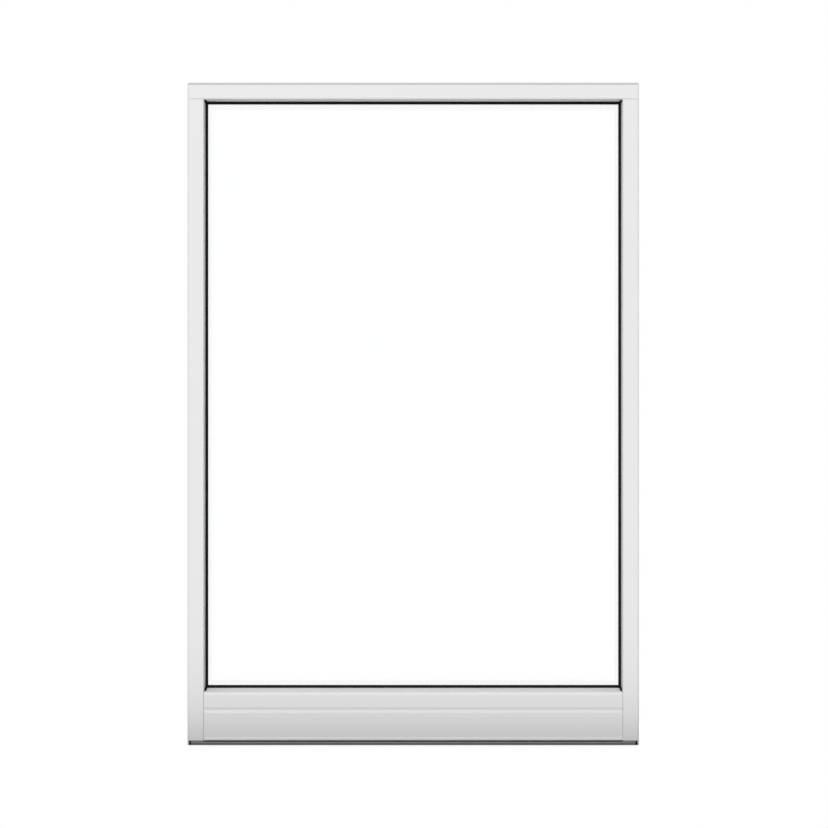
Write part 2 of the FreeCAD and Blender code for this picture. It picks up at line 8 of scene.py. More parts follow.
import bmesh
import bpy
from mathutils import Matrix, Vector


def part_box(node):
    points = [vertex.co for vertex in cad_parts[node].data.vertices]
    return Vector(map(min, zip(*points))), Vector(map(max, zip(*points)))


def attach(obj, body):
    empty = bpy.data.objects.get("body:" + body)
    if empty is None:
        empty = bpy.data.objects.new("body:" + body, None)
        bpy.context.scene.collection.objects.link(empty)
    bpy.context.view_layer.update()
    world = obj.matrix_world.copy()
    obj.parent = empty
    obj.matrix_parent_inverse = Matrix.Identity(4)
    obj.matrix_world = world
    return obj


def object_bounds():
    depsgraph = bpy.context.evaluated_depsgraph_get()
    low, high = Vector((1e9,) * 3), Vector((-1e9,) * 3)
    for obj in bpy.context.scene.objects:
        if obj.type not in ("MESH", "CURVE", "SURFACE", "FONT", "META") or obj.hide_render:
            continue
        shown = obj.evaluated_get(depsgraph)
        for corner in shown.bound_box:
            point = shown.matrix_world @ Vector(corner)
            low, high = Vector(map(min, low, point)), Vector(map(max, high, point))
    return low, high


bl_info = {
    "name": "Picture Window Dressing",
    "version": (1, 0, 0),
    "blender": (4, 5, 0),
    "location": "3D View > Sidebar > Window",
    "description": "Gives a fixed picture window its finishes, corner screws and studio",
    "category": "Object",
}

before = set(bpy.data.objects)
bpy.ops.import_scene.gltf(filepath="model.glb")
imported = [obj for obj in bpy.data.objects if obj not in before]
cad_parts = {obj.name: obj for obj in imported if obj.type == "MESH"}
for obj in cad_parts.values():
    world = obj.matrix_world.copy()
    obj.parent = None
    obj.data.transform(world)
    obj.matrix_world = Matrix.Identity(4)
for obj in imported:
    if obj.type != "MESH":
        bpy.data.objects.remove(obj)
CAD_LOW, CAD_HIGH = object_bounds()
MILLIMETRE = 0.001
QUARTER_TURN = math.pi / 2.0
WHITE = (1.0, 1.0, 1.0, 1.0)

# The window's pieces, by finish and by the way they run
COATED_PROFILES = (
    "head_outer_frame",
    "head_inner_frame",
    "left_jamb_outer_frame",
    "left_jamb_inner_frame",
    "right_jamb_outer_frame",
    "right_jamb_inner_frame",
    "sill_outer_frame",
    "sill_inner_frame",
    "bottom_glazing_bead",
)
WHITE_ENDS = (
    "left_head_end_cap",
    "right_head_end_cap",
    "left_sub_sill_end_plate",
    "right_sub_sill_end_plate",
)
WEATHER_STRIP = ("head_weather_strip",)
LEVEL_GASKETS = ("top_outer_gasket", "bottom_outer_gasket", "top_inner_gasket", "bottom_inner_gasket")
UPRIGHT_GASKETS = ("left_outer_gasket", "right_outer_gasket", "left_inner_gasket", "right_inner_gasket")
CORNER_SEALS = (
    "top_left_corner_seal",
    "top_right_corner_seal",
    "bottom_left_corner_seal",
    "bottom_right_corner_seal",
)
LEVEL_BREAKS = ("head_thermal_break", "sill_thermal_break")
UPRIGHT_BREAKS = ("left_jamb_thermal_break", "right_jamb_thermal_break")
PANES = ("outer_pane", "inner_pane")
LEVEL_SPACERS = ("top_spacer_bar", "bottom_spacer_bar")
UPRIGHT_SPACERS = ("left_spacer_bar", "right_spacer_bar")
SETTING_BLOCKS = ("left_setting_block", "right_setting_block")
SUB_SILL = ("sub_sill",)
SILL_DAMS = ("left_sub_sill_end_dam", "right_sub_sill_end_dam")

# How drawn lines are stretched along a piece: close together across it and long along it
LEVEL_RUN = (3.0, 900.0, 900.0)
UPRIGHT_RUN = (900.0, 900.0, 3.0)
NO_RUN = (500.0, 500.0, 500.0)


class DrawnLook(NamedTuple):
    """Gloss and relief of a drawn or moulded surface, apart from its colour and its run."""

    roughness: float
    relief: float
    line_amount: float = 0.3
    metallic: float = 0.0
    specular: float = 0.5


SEAL_RUBBER = DrawnLook(roughness=0.6, relief=0.05 * MILLIMETRE, specular=0.12)
CUT_RUBBER = DrawnLook(roughness=0.75, relief=0.05 * MILLIMETRE, specular=0.12)
STRIP_RUBBER = DrawnLook(roughness=0.7, relief=0.05 * MILLIMETRE, line_amount=0.1)
BREAK_PLASTIC = DrawnLook(roughness=0.5, relief=0.08 * MILLIMETRE, line_amount=0.6)
SPACER_PLASTIC = DrawnLook(roughness=0.5, relief=0.008 * MILLIMETRE, line_amount=0.15)
BLOCK_PLASTIC = DrawnLook(roughness=0.5, relief=0.008 * MILLIMETRE)
SILL_PLASTIC = DrawnLook(roughness=0.5, relief=0.06 * MILLIMETRE, line_amount=0.25)
SCREW_STEEL = DrawnLook(roughness=0.3, relief=0.02 * MILLIMETRE, line_amount=0.15, metallic=1.0)
# The dark of the screws' recesses is scale and painted shade inside the recess
SCREW_SCALE_AND_SHADE = DrawnLook(roughness=0.6, relief=0.02 * MILLIMETRE)

# Relief of the coating and the glass, and how much rougher a moulded cap is than the coating
COAT_RELIEF = 0.06 * MILLIMETRE
GLASS_RELIEF = 0.02 * MILLIMETRE
MOULDED_DULLNESS = 0.08
# How many soft spots of each kind there are to a metre
CLOUDS_PER_METRE = 5.0
PATCHES_PER_METRE = 60.0
GRAINS_PER_METRE = 800.0
GLASS_WAVES_PER_METRE = 4.0
FLOOR_CLOUDS_PER_METRE = 3.0

# Shape of a corner screw, apart from its sizes
SCREW_SIDES = 40
TIP_SHARE = 0.4
RECESS_FLOOR_SHARE = 0.45
HEAD_EDGE = 0.15 * MILLIMETRE
SMOOTH_ANGLE = math.radians(30.0)
# A face looks straight up or down where its normal has at least this share of Z
STRAIGHT = 0.99

# Middles of the broad lights: low down in front, and higher up behind
FRONT_DIP = math.radians(15.0)
FRONT_LIGHT = (0.0, -math.cos(FRONT_DIP), -math.sin(FRONT_DIP))
BACK_RISE = math.radians(25.0)
BACK_LIGHT = (0.0, math.cos(BACK_RISE), math.sin(BACK_RISE))
# Where the key lamp shines from, and how broad it looks
KEY_PLACE = (-0.6, -3.2, 1.8)
KEY_BREADTH = math.radians(20.0)
# The floor's own glow where it is seen, and the grey of the light that it throws back
FLOOR_GLOW = 0.68
FLOOR_BOUNCE = (0.02, 0.02, 0.02, 1.0)


class PictureWindowFinish(bpy.types.PropertyGroup):
    """Colours and gloss of the window's surfaces."""

    coat_colour: bpy.props.FloatVectorProperty(
        name="Coating",
        description="Colour of the powder coating on the aluminium",
        subtype="COLOR",
        size=3,
        min=0.0,
        max=1.0,
        default=(0.80, 0.80, 0.80),
    )
    coat_roughness: bpy.props.FloatProperty(
        name="Coating roughness",
        description="How matt the powder coating is",
        subtype="FACTOR",
        min=0.0,
        max=1.0,
        default=0.42,
    )
    peel_pitch: bpy.props.FloatProperty(
        name="Peel pitch",
        description="Distance between the soft ripples in the powder coating",
        unit="LENGTH",
        default=1.6 * MILLIMETRE,
    )
    rubber_colour: bpy.props.FloatVectorProperty(
        name="Gasket rubber",
        description="Colour of the seals and of the sub-sill's end dams",
        subtype="COLOR",
        size=3,
        min=0.0,
        max=1.0,
        default=(0.004, 0.004, 0.004),
    )
    strip_colour: bpy.props.FloatVectorProperty(
        name="Weather strip",
        description="Colour of the soft strip along the top of the head",
        subtype="COLOR",
        size=3,
        min=0.0,
        max=1.0,
        default=(0.58, 0.58, 0.575),
    )
    break_colour: bpy.props.FloatVectorProperty(
        name="Thermal break",
        description="Colour of the plastic strips between the profiles",
        subtype="COLOR",
        size=3,
        min=0.0,
        max=1.0,
        default=(0.016, 0.016, 0.017),
    )
    spacer_colour: bpy.props.FloatVectorProperty(
        name="Spacer bars",
        description="Colour of the bars between the panes",
        subtype="COLOR",
        size=3,
        min=0.0,
        max=1.0,
        default=(0.03, 0.03, 0.032),
    )
    block_colour: bpy.props.FloatVectorProperty(
        name="Setting blocks",
        description="Colour of the blocks that carry the glass",
        subtype="COLOR",
        size=3,
        min=0.0,
        max=1.0,
        default=(0.12, 0.12, 0.12),
    )
    sub_sill_colour: bpy.props.FloatVectorProperty(
        name="Sub-sill",
        description="Colour of the dark profile under the frame",
        subtype="COLOR",
        size=3,
        min=0.0,
        max=1.0,
        default=(0.25, 0.241, 0.233),
    )
    glass_colour: bpy.props.FloatVectorProperty(
        name="Glass",
        description="Faint tint of the clear panes",
        subtype="COLOR",
        size=3,
        min=0.0,
        max=1.0,
        default=(0.997, 1.0, 0.999),
    )
    steel_colour: bpy.props.FloatVectorProperty(
        name="Screw steel",
        description="Colour of the corner screws",
        subtype="COLOR",
        size=3,
        min=0.0,
        max=1.0,
        default=(0.58, 0.57, 0.55),
    )
    # The screw recess colour is dark scale and painted shade in the recess
    recess_scale_and_shade_colour: bpy.props.FloatVectorProperty(
        name="Screw recess",
        description="Colour of the dark scale left in the recess of a corner screw",
        subtype="COLOR",
        size=3,
        min=0.0,
        max=1.0,
        default=(0.09, 0.088, 0.085),
    )


class PictureWindowScrews(bpy.types.PropertyGroup):
    """Sizes and places of the screws that hold the frame's corners together."""

    head_width: bpy.props.FloatProperty(
        name="Head width",
        description="Width of a countersunk head",
        unit="LENGTH",
        default=8.1 * MILLIMETRE,
    )
    head_depth: bpy.props.FloatProperty(
        name="Head depth",
        description="Depth of a countersunk head",
        unit="LENGTH",
        default=1.8 * MILLIMETRE,
    )
    head_sink: bpy.props.FloatProperty(
        name="Head sink",
        description="How far a head lies below the surface",
        unit="LENGTH",
        default=0.12 * MILLIMETRE,
    )
    shank_length: bpy.props.FloatProperty(
        name="Shank",
        description="Length of the shank below the head",
        unit="LENGTH",
        default=9 * MILLIMETRE,
    )
    recess_width: bpy.props.FloatProperty(
        name="Recess width",
        description="Length of each arm of the cross recess, from tip to tip",
        unit="LENGTH",
        default=4.4 * MILLIMETRE,
    )
    recess_slot: bpy.props.FloatProperty(
        name="Recess slot",
        description="Width of the slots of the cross recess",
        unit="LENGTH",
        default=1.1 * MILLIMETRE,
    )
    recess_depth: bpy.props.FloatProperty(
        name="Recess depth",
        description="Depth of the cross recess",
        unit="LENGTH",
        default=1.5 * MILLIMETRE,
    )
    low_height: bpy.props.FloatProperty(
        name="Lower screw",
        description="Height of the lower screw above the foot of a jamb",
        unit="LENGTH",
        default=17 * MILLIMETRE,
    )
    high_height: bpy.props.FloatProperty(
        name="Upper screw",
        description="Height of the upper screw above the foot of a jamb",
        unit="LENGTH",
        default=47 * MILLIMETRE,
    )


class PictureWindowStage(bpy.types.PropertyGroup):
    """The studio: floor, light and camera."""

    camera_distance: bpy.props.FloatProperty(
        name="Camera distance",
        description="Distance of the camera from the window's exterior face",
        unit="LENGTH",
        default=2.4,
    )
    camera_height: bpy.props.FloatProperty(
        name="Camera height",
        description="Height of the camera above the floor",
        unit="LENGTH",
        default=0.6449,
    )
    camera_side: bpy.props.FloatProperty(
        name="Camera side",
        description="Place of the camera to the right of the window's middle",
        unit="LENGTH",
        default=0.0015,
    )
    view_angle: bpy.props.FloatProperty(
        name="View angle",
        description="Angle that the camera takes in across the picture",
        subtype="ANGLE",
        default=math.radians(37.082),
    )
    floor_margin: bpy.props.FloatProperty(
        name="Floor margin",
        description="How far the floor reaches in front of the window and behind it",
        unit="LENGTH",
        default=0.1,
    )
    floor_reach: bpy.props.FloatProperty(
        name="Floor reach",
        description="How far the floor reaches beyond the window at its left and right",
        unit="LENGTH",
        default=0.3,
    )
    floor_colour: bpy.props.FloatVectorProperty(
        name="Floor",
        description="Colour of the pale floor",
        subtype="COLOR",
        size=3,
        min=0.0,
        max=1.0,
        default=(0.45, 0.45, 0.45),
    )
    sky_level: bpy.props.FloatProperty(
        name="Sky level",
        description="Strength of the even light from all round",
        default=0.49,
    )
    side_shade: bpy.props.FloatProperty(
        name="Side shade",
        description="Share of the light that dark screens take away straight left and right",
        subtype="FACTOR",
        min=0.0,
        max=1.0,
        default=0.3,
    )
    front_level: bpy.props.FloatProperty(
        name="Front level",
        description="Strength that the broad light in front of the window adds to the sky",
        default=0.595,
    )
    key_strength: bpy.props.FloatProperty(
        name="Key light",
        description="Strength of the far soft lamp in front",
        default=0.72,
    )
    back_level: bpy.props.FloatProperty(
        name="Back level",
        description="Strength that the broad light behind the window adds to the sky",
        default=0.75,
    )


# Nodes of materials

def set_inputs(node, values):
    """Sets a node's inputs by their names."""
    for name, value in values.items():
        node.inputs[name].default_value = value


def add_node(tree, kind, values=None, links=None):
    """A new node with some inputs set and others linked."""
    node = tree.nodes.new(kind)
    set_inputs(node, values or {})
    for name, source in (links or {}).items():
        tree.links.new(source, node.inputs[name])
    return node


def add_math(tree, operation, first, second):
    """The result of a calculation with two numbers or sockets."""
    node = tree.nodes.new("ShaderNodeMath")
    node.operation = operation
    for socket, source in zip(node.inputs, (first, second)):
        if isinstance(source, bpy.types.NodeSocket):
            tree.links.new(source, socket)
        else:
            socket.default_value = source
    return node.outputs["Value"]


def add_noise(tree, place, scale, detail):
    """Soft noise at a scale, which may be a number or a socket."""
    noise = add_node(tree, "ShaderNodeTexNoise", {"Detail": detail}, {"Vector": place})
    if isinstance(scale, bpy.types.NodeSocket):
        tree.links.new(scale, noise.inputs["Scale"])
    else:
        noise.inputs["Scale"].default_value = scale
    return noise.outputs["Fac"]


def add_swing(tree, noise, middle, amount):
    """A number that swings about its middle by an amount, as the noise does."""
    centred = add_math(tree, "SUBTRACT", noise, 0.5)
    swing = add_math(tree, "MULTIPLY", centred, amount)
    return add_math(tree, "ADD", swing, middle)


def add_tint(tree, colour, strength):
    """A colour made lighter or darker by a strength."""
    mix = tree.nodes.new("ShaderNodeMix")
    mix.data_type = "RGBA"
    mix.blend_type = "MULTIPLY"
    mix.inputs["Factor"].default_value = 1.0
    colour_a, colour_b = [socket for socket in mix.inputs if socket.type == "RGBA"]
    tree.links.new(colour, colour_a)
    tree.links.new(strength, colour_b)
    return next(socket for socket in mix.outputs if socket.type == "RGBA")


def add_shader_mix(tree, mask, first, second):
    """The first shader where the mask is 0, and the second where it is 1."""
    mix = tree.nodes.new("ShaderNodeMixShader")
    for socket, source in zip(mix.inputs, (mask, first, second)):
        tree.links.new(source, socket)
    return mix.outputs["Shader"]


def seen_directly(tree):
    """A mask that is 1 for what is seen, mirrored or seen through glass, and 0 for light that spreads."""
    path = tree.nodes.new("ShaderNodeLightPath")
    mirrored = add_math(tree, "MAXIMUM", path.outputs["Is Camera Ray"], path.outputs["Is Glossy Ray"])
    clear = add_math(tree, "MAXIMUM", mirrored, path.outputs["Is Transmission Ray"])
    # The depth counts the matt surfaces met so far, so below a half there was none
    unspread = add_math(tree, "LESS_THAN", path.outputs["Diffuse Depth"], 0.5)
    return add_math(tree, "MULTIPLY", clear, unspread)


# Skins that materials share

SKIN_OUTPUTS = {
    "Colour": "NodeSocketColor",
    "Roughness": "NodeSocketFloat",
    "Height": "NodeSocketFloat",
}


def new_skin(name, inputs):
    """An empty skin group with named inputs, and with colour, roughness and height as outputs."""
    tree = bpy.data.node_groups.new(name, "ShaderNodeTree")
    for direction, sockets in (("INPUT", inputs), ("OUTPUT", SKIN_OUTPUTS)):
        for label, kind in sockets.items():
            tree.interface.new_socket(label, in_out=direction, socket_type=kind)
    start = tree.nodes.new("NodeGroupInput")
    end = tree.nodes.new("NodeGroupOutput")
    return tree, start.outputs, end.inputs


def sprayed_skin():
    """The shared look of a sprayed and baked coating: soft ripples, faint clouds, uneven gloss."""
    name = "Sprayed skin"
    if name in bpy.data.node_groups:
        return bpy.data.node_groups[name]
    tree, given, result = new_skin(
        name,
        {
            "Place": "NodeSocketVector",
            "Colour": "NodeSocketColor",
            "Ripple Scale": "NodeSocketFloat",
            "Cloud Amount": "NodeSocketFloat",
            "Gloss": "NodeSocketFloat",
            "Gloss Amount": "NodeSocketFloat",
        },
    )
    clouds = add_noise(tree, given["Place"], CLOUDS_PER_METRE, detail=3.0)
    patches = add_noise(tree, given["Place"], PATCHES_PER_METRE, detail=2.0)
    ripples = add_noise(tree, given["Place"], given["Ripple Scale"], detail=1.5)
    shade = add_swing(tree, clouds, 1.0, given["Cloud Amount"])
    tree.links.new(add_tint(tree, given["Colour"], shade), result["Colour"])
    gloss = add_swing(tree, patches, given["Gloss"], given["Gloss Amount"])
    tree.links.new(gloss, result["Roughness"])
    tree.links.new(ripples, result["Height"])
    return tree


def drawn_skin():
    """The shared look of drawn plastic, rubber and metal: fine lines along the run and a dull grain."""
    name = "Drawn skin"
    if name in bpy.data.node_groups:
        return bpy.data.node_groups[name]
    tree, given, result = new_skin(
        name,
        {
            "Place": "NodeSocketVector",
            "Colour": "NodeSocketColor",
            "Run": "NodeSocketVector",
            "Line Amount": "NodeSocketFloat",
            "Gloss": "NodeSocketFloat",
            "Gloss Amount": "NodeSocketFloat",
        },
    )
    stretch = tree.nodes.new("ShaderNodeVectorMath")
    stretch.operation = "MULTIPLY"
    tree.links.new(given["Place"], stretch.inputs[0])
    tree.links.new(given["Run"], stretch.inputs[1])
    # The run already holds the scale of the lines
    lines = add_noise(tree, stretch.outputs["Vector"], 1.0, detail=3.0)
    grain = add_noise(tree, given["Place"], GRAINS_PER_METRE, detail=2.0)
    shade = add_swing(tree, lines, 1.0, given["Line Amount"])
    tree.links.new(add_tint(tree, given["Colour"], shade), result["Colour"])
    gloss = add_swing(tree, grain, given["Gloss"], given["Gloss Amount"])
    tree.links.new(gloss, result["Roughness"])
    tree.links.new(add_math(tree, "ADD", lines, grain), result["Height"])
    return tree


# Materials

def opaque(colour):
    """A colour property with full alpha."""
    return (*colour, 1.0)


def new_material(name):
    """An empty material and its output's surface socket."""
    material = bpy.data.materials.new(name)
    material.use_nodes = True
    tree = material.node_tree
    tree.nodes.clear()
    output = tree.nodes.new("ShaderNodeOutputMaterial")
    return material, tree, output.inputs["Surface"]


def skinned_material(name, skin, values, relief, metallic, specular):
    """A material whose colour, roughness and bump come from a skin group."""
    material, tree, surface = new_material(name)
    place = tree.nodes.new("ShaderNodeTexCoord")
    group = tree.nodes.new("ShaderNodeGroup")
    group.node_tree = skin
    set_inputs(group, values)
    tree.links.new(place.outputs["Object"], group.inputs["Place"])
    bump = add_node(tree, "ShaderNodeBump", {"Distance": relief}, {"Height": group.outputs["Height"]})
    shader = add_node(
        tree,
        "ShaderNodeBsdfPrincipled",
        {"Metallic": metallic, "Specular IOR Level": specular},
        {
            "Base Color": group.outputs["Colour"],
            "Roughness": group.outputs["Roughness"],
            "Normal": bump.outputs["Normal"],
        },
    )
    tree.links.new(shader.outputs["BSDF"], surface)
    return material


def coating_material(name, finish, roughness):
    """White baked powder coating."""
    values = {
        "Colour": opaque(finish.coat_colour),
        "Ripple Scale": 1.0 / finish.peel_pitch,
        "Cloud Amount": 0.02,
        "Gloss": roughness,
        "Gloss Amount": 0.12,
    }
    return skinned_material(name, sprayed_skin(), values, COAT_RELIEF, metallic=0.0, specular=0.25)


def drawn_material(name, colour, run, look):
    """Plastic, rubber or metal that was drawn along a run."""
    values = {
        "Colour": opaque(colour),
        "Run": run,
        "Line Amount": look.line_amount,
        "Gloss": look.roughness,
        "Gloss Amount": 0.15,
    }
    return skinned_material(name, drawn_skin(), values, look.relief, look.metallic, look.specular)


def glass_material(finish):
    """Clear float glass with faint waves, which lets lamp light through to what is behind it."""
    material, tree, surface = new_material("clear_float_glass")
    place = tree.nodes.new("ShaderNodeTexCoord")
    waves = add_noise(tree, place.outputs["Object"], GLASS_WAVES_PER_METRE, detail=1.0)
    bump = add_node(tree, "ShaderNodeBump", {"Distance": GLASS_RELIEF}, {"Height": waves})
    glass = add_node(
        tree,
        "ShaderNodeBsdfPrincipled",
        {
            "Base Color": opaque(finish.glass_colour),
            "Roughness": 0.0,
            "IOR": 1.5,
            "Transmission Weight": 1.0,
        },
        {"Normal": bump.outputs["Normal"]},
    )
    passing = add_node(tree, "ShaderNodeBsdfTransparent", {"Color": opaque(finish.glass_colour)})
    path = tree.nodes.new("ShaderNodeLightPath")
    lamp_light = path.outputs["Is Shadow Ray"]
    shader = add_shader_mix(tree, lamp_light, glass.outputs["BSDF"], passing.outputs["BSDF"])
    tree.links.new(shader, surface)
    return material


def floor_material(stage):
    """A pale floor that looks nearly white and keeps the window's shadow, but throws little light back."""
    material, tree, surface = new_material("pale_studio_floor")
    place = tree.nodes.new("ShaderNodeTexCoord")
    clouds = add_noise(tree, place.outputs["Object"], FLOOR_CLOUDS_PER_METRE, detail=2.0)
    colour = add_node(tree, "ShaderNodeRGB")
    colour.outputs["Color"].default_value = opaque(stage.floor_colour)
    shade = add_tint(tree, colour.outputs["Color"], add_swing(tree, clouds, middle=1.0, amount=0.02))
    paint = add_node(
        tree,
        "ShaderNodeBsdfPrincipled",
        {"Roughness": 0.9, "Emission Color": WHITE, "Emission Strength": FLOOR_GLOW},
        {"Base Color": shade},
    )
    dull = add_node(tree, "ShaderNodeBsdfDiffuse", {"Color": FLOOR_BOUNCE})
    shader = add_shader_mix(tree, seen_directly(tree), dull.outputs["BSDF"], paint.outputs["BSDF"])
    tree.links.new(shader, surface)
    return material


def finish_nodes(names, material):
    """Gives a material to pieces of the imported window."""
    for name in names:
        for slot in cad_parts[name].material_slots:
            slot.material = material


def finish_runs(name, colour, look, level_pieces, upright_pieces):
    """Gives level and upright pieces the same drawn finish, each with its lines along its own run."""
    finish_nodes(level_pieces, drawn_material(f"{name}_level", colour, LEVEL_RUN, look))
    finish_nodes(upright_pieces, drawn_material(f"{name}_upright", colour, UPRIGHT_RUN, look))


# Modelling by hand

def deselect_all():
    """Leaves nothing selected, so that an operator acts on one piece alone."""
    bpy.ops.object.select_all(action="DESELECT")


def make_active(piece):
    """Selects one piece alone."""
    deselect_all()
    piece.select_set(True)
    bpy.context.view_layer.objects.active = piece


def select_faces(piece, wanted):
    """Selects the faces of the piece in edit mode for which wanted(face) is true."""
    bpy.ops.mesh.select_mode(type="FACE")
    bpy.ops.mesh.select_all(action="DESELECT")
    mesh = bmesh.from_edit_mesh(piece.data)
    for face in mesh.faces:
        face.select_set(wanted(face))
    bmesh.update_edit_mesh(piece.data)


def looks_up(face):
    """True for a face that looks straight up."""
    return face.normal.z > STRAIGHT


def looks_down(face):
    """True for a face that looks straight down."""
    return face.normal.z < -STRAIGHT


def shrink_across(share):
    """Shrinks what is selected across the screw, to a share of its width."""
    bpy.ops.transform.resize(value=(share, share, 1.0))


def draw_out(height):
    """Extrudes the selected faces along the screw, up or down."""
    bpy.ops.mesh.extrude_region_move(TRANSFORM_OT_translate={"value": (0.0, 0.0, height)})


def give_metals(piece, metals):
    """Gives a piece the bright metal of the screw, which its faces wear, and the dark one of its recess,
    which is dark scale and painted shade.
    """
    for metal in metals:
        piece.data.materials.append(metal)


def cut_away(piece, cutter):
    """Takes the cutter's shape out of the piece, and deletes the cutter."""
    make_active(piece)
    modifier = piece.modifiers.new("Recess", "BOOLEAN")
    modifier.object = cutter
    modifier.solver = "EXACT"
    bpy.ops.object.modifier_apply(modifier=modifier.name)
    bpy.data.objects.remove(cutter)


def model_recess_arm(screws, turn, metals):
    """One tapered arm of the cross recess, as a cutter that stands out of the head, in the dark metal of
    the recess: dark scale and painted shade.
    """
    deselect_all()
    depth = screws.recess_depth
    bpy.ops.mesh.primitive_cube_add(size=1.0, location=(0.0, 0.0, -depth / 2.0))
    arm = bpy.context.object
    arm.scale = (screws.recess_width, screws.recess_slot, depth)
    arm.rotation_euler = (0.0, 0.0, turn)
    bpy.ops.object.transform_apply(location=True, rotation=True, scale=True)
    give_metals(arm, metals)
    bpy.ops.object.mode_set(mode="EDIT")
    # The arm's faces, and so the recess that it cuts, take the dark scale and painted shade
    arm.active_material_index = len(metals) - 1
    bpy.ops.object.material_slot_assign()
    select_faces(arm, looks_down)
    shrink_across(RECESS_FLOOR_SHARE)
    select_faces(arm, looks_up)
    draw_out(depth)
    bpy.ops.object.mode_set(mode="OBJECT")
    return arm


def model_screw(screws, metals):
    """A countersunk screw with a cross recess, its head level with the floor plane and facing up."""
    deselect_all()
    depth = screws.head_depth
    radius = screws.head_width / 2.0
    bpy.ops.mesh.primitive_cylinder_add(
        vertices=SCREW_SIDES, radius=radius, depth=depth, location=(0.0, 0.0, -depth / 2.0)
    )
    screw = bpy.context.object
    screw.name = "corner_screw"
    give_metals(screw, metals)
    bpy.ops.object.transform_apply(location=True, rotation=True, scale=True)
    bpy.ops.object.mode_set(mode="EDIT")
    select_faces(screw, looks_down)
    # The head narrows by as much as it is deep, as its countersink does
    shrink_across((radius - depth) / radius)
    draw_out(-screws.shank_length)
    shrink_across(TIP_SHARE)
    select_faces(screw, looks_up)
    bpy.ops.mesh.bevel(offset=HEAD_EDGE, segments=2, affect="EDGES")
    bpy.ops.object.mode_set(mode="OBJECT")
    for turn in (0.0, QUARTER_TURN):
        cut_away(screw, model_recess_arm(screws, turn, metals))
    make_active(screw)
    bpy.ops.object.shade_smooth_by_angle(angle=SMOOTH_ANGLE)
    return screw


def screw_spots(screws):
    """The name, place and outward direction of each corner screw."""
    spots = []
    strip_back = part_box("head_weather_strip")[1].y
    for layer in ("outer", "inner"):
        head_low, head_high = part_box(f"head_{layer}_frame")
        head_back = (max(head_low.y, strip_back) + head_high.y) / 2.0
        for side, outward in (("left", -1.0), ("right", 1.0)):
            low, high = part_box(f"{side}_jamb_{layer}_frame")
            face_low, face_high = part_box(f"{side}_jamb_outer_frame")
            back = (low.y + high.y) / 2.0
            edge = high.x if outward > 0.0 else low.x
            for level, height in (("lower", screws.low_height), ("upper", screws.high_height)):
                place = Vector((edge, back, low.z + height))
                spots.append((f"{side}_{layer}_{level}_screw", place, Vector((outward, 0.0, 0.0))))
            middle = (face_low.x + face_high.x) / 2.0
            place = Vector((middle, head_back, head_high.z))
            spots.append((f"{side}_{layer}_head_screw", place, Vector((0.0, 0.0, 1.0))))
    return spots


# Studio

def lay_floor(stage):
    """A flat floor under the window, a little larger than it."""
    deselect_all()
    bpy.ops.mesh.primitive_plane_add(size=1.0, location=(0.0, 0.0, 0.0))
    floor = bpy.context.object
    floor.name = "studio_floor"
    width = CAD_HIGH.x - CAD_LOW.x + 2.0 * stage.floor_reach
    depth = CAD_HIGH.y - CAD_LOW.y + 2.0 * stage.floor_margin
    floor.scale = (width, depth, 1.0)
    bpy.ops.object.transform_apply(location=True, rotation=True, scale=True)
    floor.data.materials.append(floor_material(stage))


def broad_light(tree, stage):
    """The strength of the studio's light: brighter in front and behind, weaker at the sides."""
    place = tree.nodes.new("ShaderNodeTexCoord")
    strength = stage.sky_level
    for middle, level in ((FRONT_LIGHT, stage.front_level), (BACK_LIGHT, stage.back_level)):
        towards = tree.nodes.new("ShaderNodeVectorMath")
        towards.operation = "DOT_PRODUCT"
        tree.links.new(place.outputs["Generated"], towards.inputs[0])
        towards.inputs[1].default_value = middle
        share = add_math(tree, "MAXIMUM", towards.outputs["Value"], 0.0)
        strength = add_math(tree, "ADD", add_math(tree, "MULTIPLY", share, level), strength)
    parts = add_node(tree, "ShaderNodeSeparateXYZ", links={"Vector": place.outputs["Generated"]})
    sideways = add_math(tree, "POWER", parts.outputs["X"], 2.0)
    lost = add_math(tree, "MULTIPLY", sideways, stage.side_shade)
    return add_math(tree, "MULTIPLY", strength, add_math(tree, "SUBTRACT", 1.0, lost))


def light_world(stage):
    """Broad light from all round, with white behind everything that is seen."""
    scene = bpy.context.scene
    scene.world = bpy.data.worlds.new("studio_world")
    scene.world.use_nodes = True
    tree = scene.world.node_tree
    tree.nodes.clear()
    sky = add_node(tree, "ShaderNodeBackground", {"Color": WHITE}, {"Strength": broad_light(tree, stage)})
    backdrop = add_node(tree, "ShaderNodeBackground", {"Color": WHITE, "Strength": 1.0})
    shader = add_shader_mix(
        tree, seen_directly(tree), sky.outputs["Background"], backdrop.outputs["Background"]
    )
    output = tree.nodes.new("ShaderNodeOutputWorld")
    tree.links.new(shader, output.inputs["Surface"])


def add_key_light(stage):
    """A far, soft lamp that shines on the window from in front."""
    lamp = bpy.data.lights.new("key_light", "SUN")
    lamp.energy = stage.key_strength
    lamp.angle = KEY_BREADTH
    light = bpy.data.objects.new("key_light", lamp)
    light.location = KEY_PLACE
    light.rotation_euler = Vector(KEY_PLACE).to_track_quat("Z", "Y").to_euler()
    bpy.context.scene.collection.objects.link(light)


def set_camera(stage):
    """A camera square to the window, as in the photograph."""
    lens = bpy.data.cameras.new("picture_camera")
    lens.sensor_fit = "HORIZONTAL"
    lens.angle = stage.view_angle
    camera = bpy.data.objects.new("picture_camera", lens)
    camera.location = (stage.camera_side, CAD_LOW.y - stage.camera_distance, stage.camera_height)
    camera.rotation_euler = (QUARTER_TURN, 0.0, 0.0)
    bpy.context.scene.collection.objects.link(camera)
    bpy.context.scene.camera = camera


# Operators

